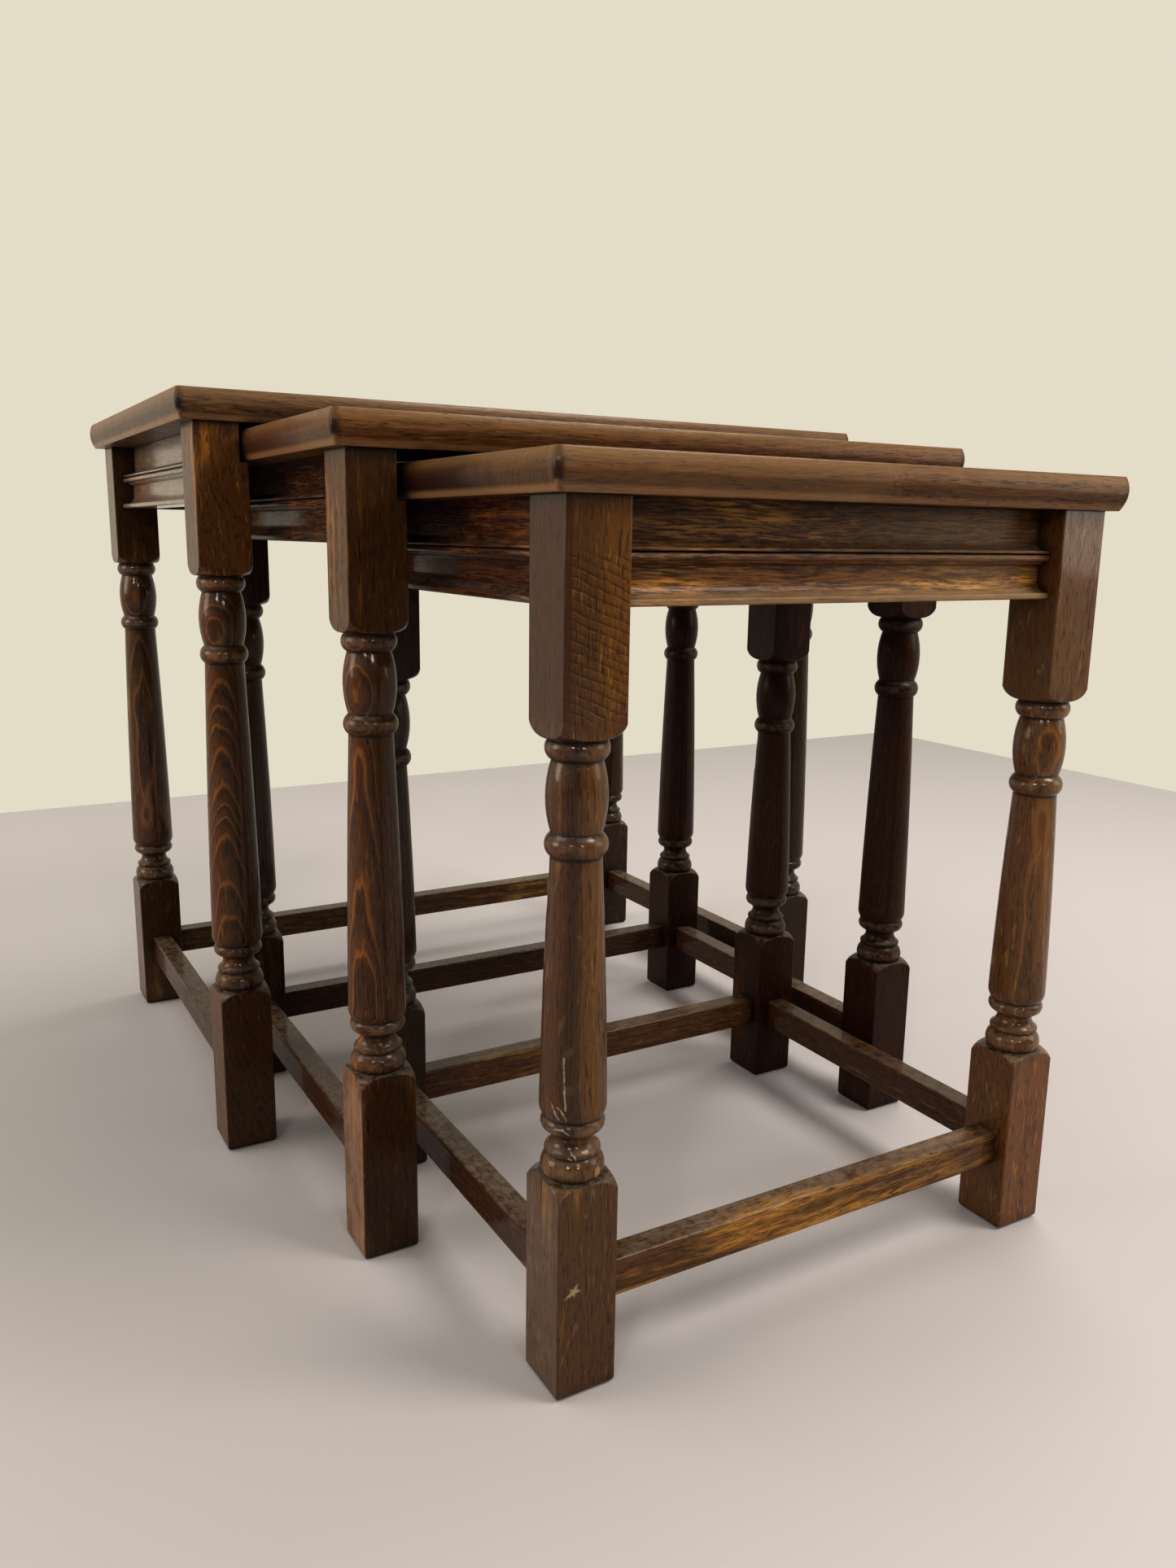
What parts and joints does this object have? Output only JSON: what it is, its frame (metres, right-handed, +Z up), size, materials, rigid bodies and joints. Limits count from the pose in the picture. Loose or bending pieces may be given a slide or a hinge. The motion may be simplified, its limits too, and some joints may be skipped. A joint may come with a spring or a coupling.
{
  "type": "nesting tables",
  "caption": "Nest of dark oak side tables with turned legs, moulded aprons and low stretchers; each smaller one slides out of the next.",
  "frame": {"origin": "on the floor, under the middle of the whole set as it stands staggered", "axes": "+X to the right along the tops' long edges, +Y to the back (the large table's end), +Z up"},
  "size_m": [0.538, 0.6794, 0.512],
  "materials": {
    "tabletop": "satin varnish over dark stained oak, long straight grain",
    "leg": "satin varnish over dark stained oak, grain along the leg",
    "apron": "satin varnish over dark stained oak, coarse open grain",
    "stretcher": "satin varnish over dark stained oak, worn upper edges",
    "dowel": "plain beech pegs"
  },
  "bodies": {
    "large_table": {"large_apron_back": "apron", "large_apron_left": "apron", "large_apron_right": "apron", "large_dowels": "dowel", "large_leg_back_left": "leg", "large_leg_back_right": "leg", "large_leg_front_left": "leg", "large_leg_front_right": "leg", "large_stretcher_back": "stretcher", "large_stretcher_left": "stretcher", "large_stretcher_right": "stretcher", "large_top": "tabletop"},
    "middle_table": {"middle_apron_back": "apron", "middle_apron_left": "apron", "middle_apron_right": "apron", "middle_dowels": "dowel", "middle_leg_back_left": "leg", "middle_leg_back_right": "leg", "middle_leg_front_left": "leg", "middle_leg_front_right": "leg", "middle_stretcher_back": "stretcher", "middle_stretcher_left": "stretcher", "middle_stretcher_right": "stretcher", "middle_top": "tabletop"},
    "small_table": {"small_apron_back": "apron", "small_apron_front": "apron", "small_apron_left": "apron", "small_apron_right": "apron", "small_dowels": "dowel", "small_leg_back_left": "leg", "small_leg_back_right": "leg", "small_leg_front_left": "leg", "small_leg_front_right": "leg", "small_stretcher_back": "stretcher", "small_stretcher_front": "stretcher", "small_stretcher_left": "stretcher", "small_stretcher_right": "stretcher", "small_top": "tabletop"}
  },
  "joints": [
    {"name": "middle_table_slide", "type": "slide", "parent": "large_table", "child": "middle_table", "axis": [0, -1, 0], "range_m": [-0.16, 0.16]},
    {"name": "small_table_slide", "type": "slide", "parent": "middle_table", "child": "small_table", "axis": [0, -1, 0], "range_m": [-0.149, 0.14]}
  ]
}
